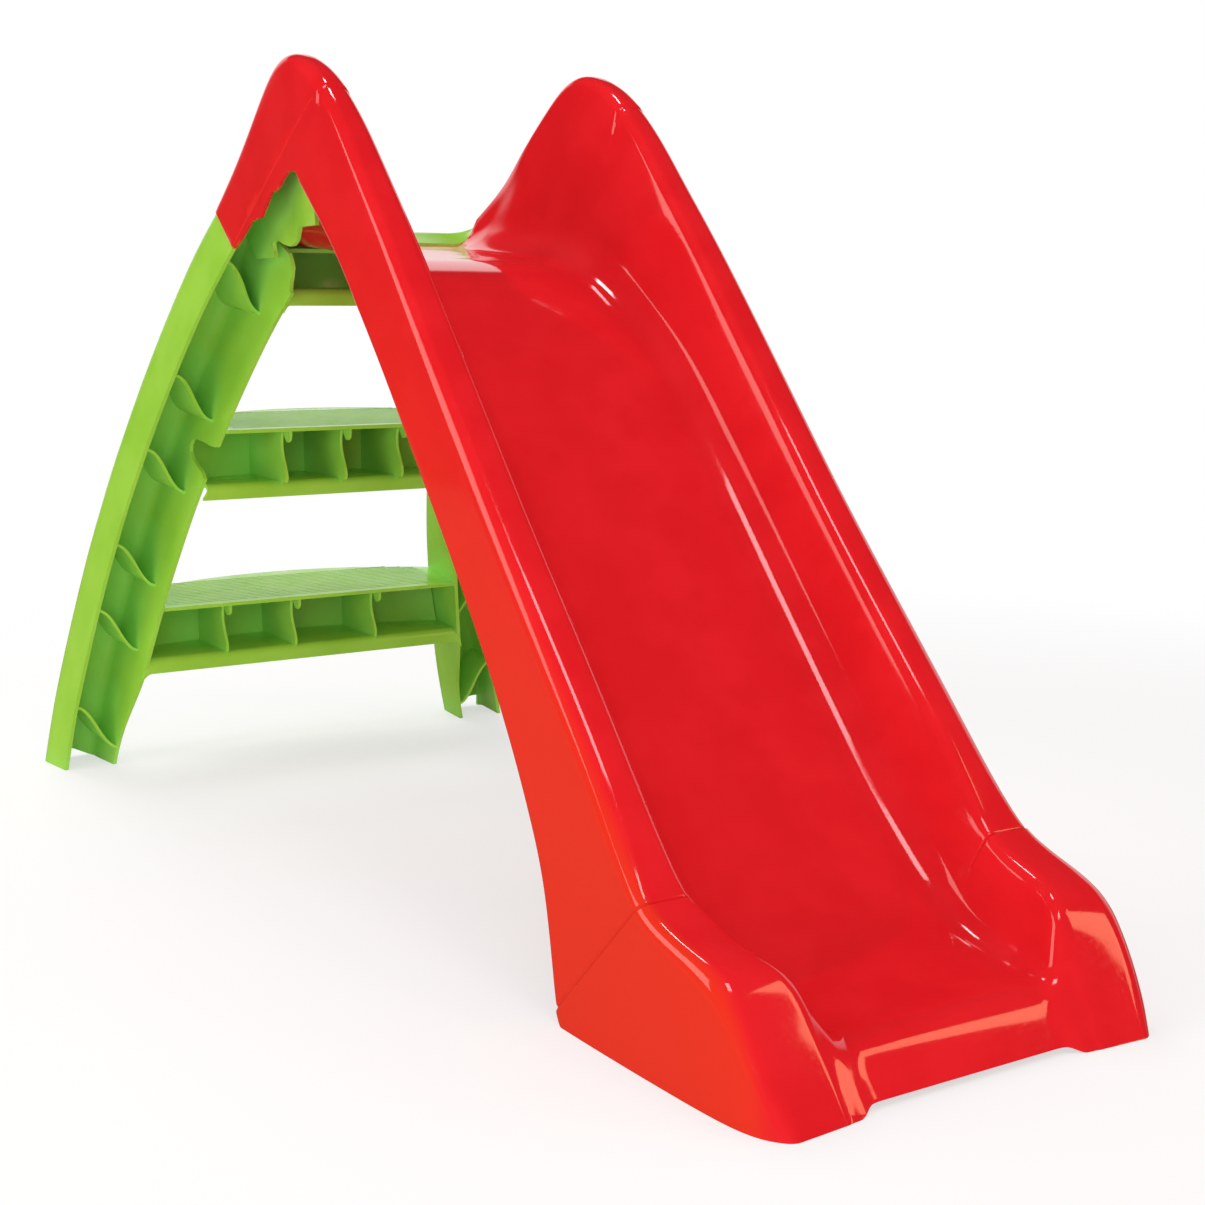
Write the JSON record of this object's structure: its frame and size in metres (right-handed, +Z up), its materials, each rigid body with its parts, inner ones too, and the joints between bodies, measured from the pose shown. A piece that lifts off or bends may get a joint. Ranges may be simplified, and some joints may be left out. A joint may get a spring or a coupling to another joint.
{
  "type": "toddler slide",
  "caption": "Free-standing plastic toddler slide: a red hollow-walled chute with ear-shaped handles that plugs onto a green stepped ladder.",
  "frame": {"origin": "on the floor, midway along the slide and on its symmetry plane", "axes": "+X across the slide, +Y from the chute's exit towards the ladder, +Z up"},
  "size_m": [0.5684, 1.2301, 0.735],
  "materials": {
    "red_moulding": "gloss",
    "green_moulding": "gloss"
  },
  "bodies": {
    "ladder": {"left_stile": "green_moulding", "right_stile": "green_moulding", "lower_step": "green_moulding", "middle_step": "green_moulding", "top_step": "green_moulding"},
    "slide": {"deck": "red_moulding", "left_handle": "red_moulding", "right_handle": "red_moulding", "slide_bed": "red_moulding", "left_rail": "red_moulding", "right_rail": "red_moulding", "run_out_floor": "red_moulding", "left_fender": "red_moulding", "right_fender": "red_moulding"}
  },
  "joints": [
    {"name": "slide_lift_off", "type": "slide", "parent": "ladder", "child": "slide", "axis": [0, -0.7547, 0.6561], "range_m": [0, 0.12]}
  ]
}
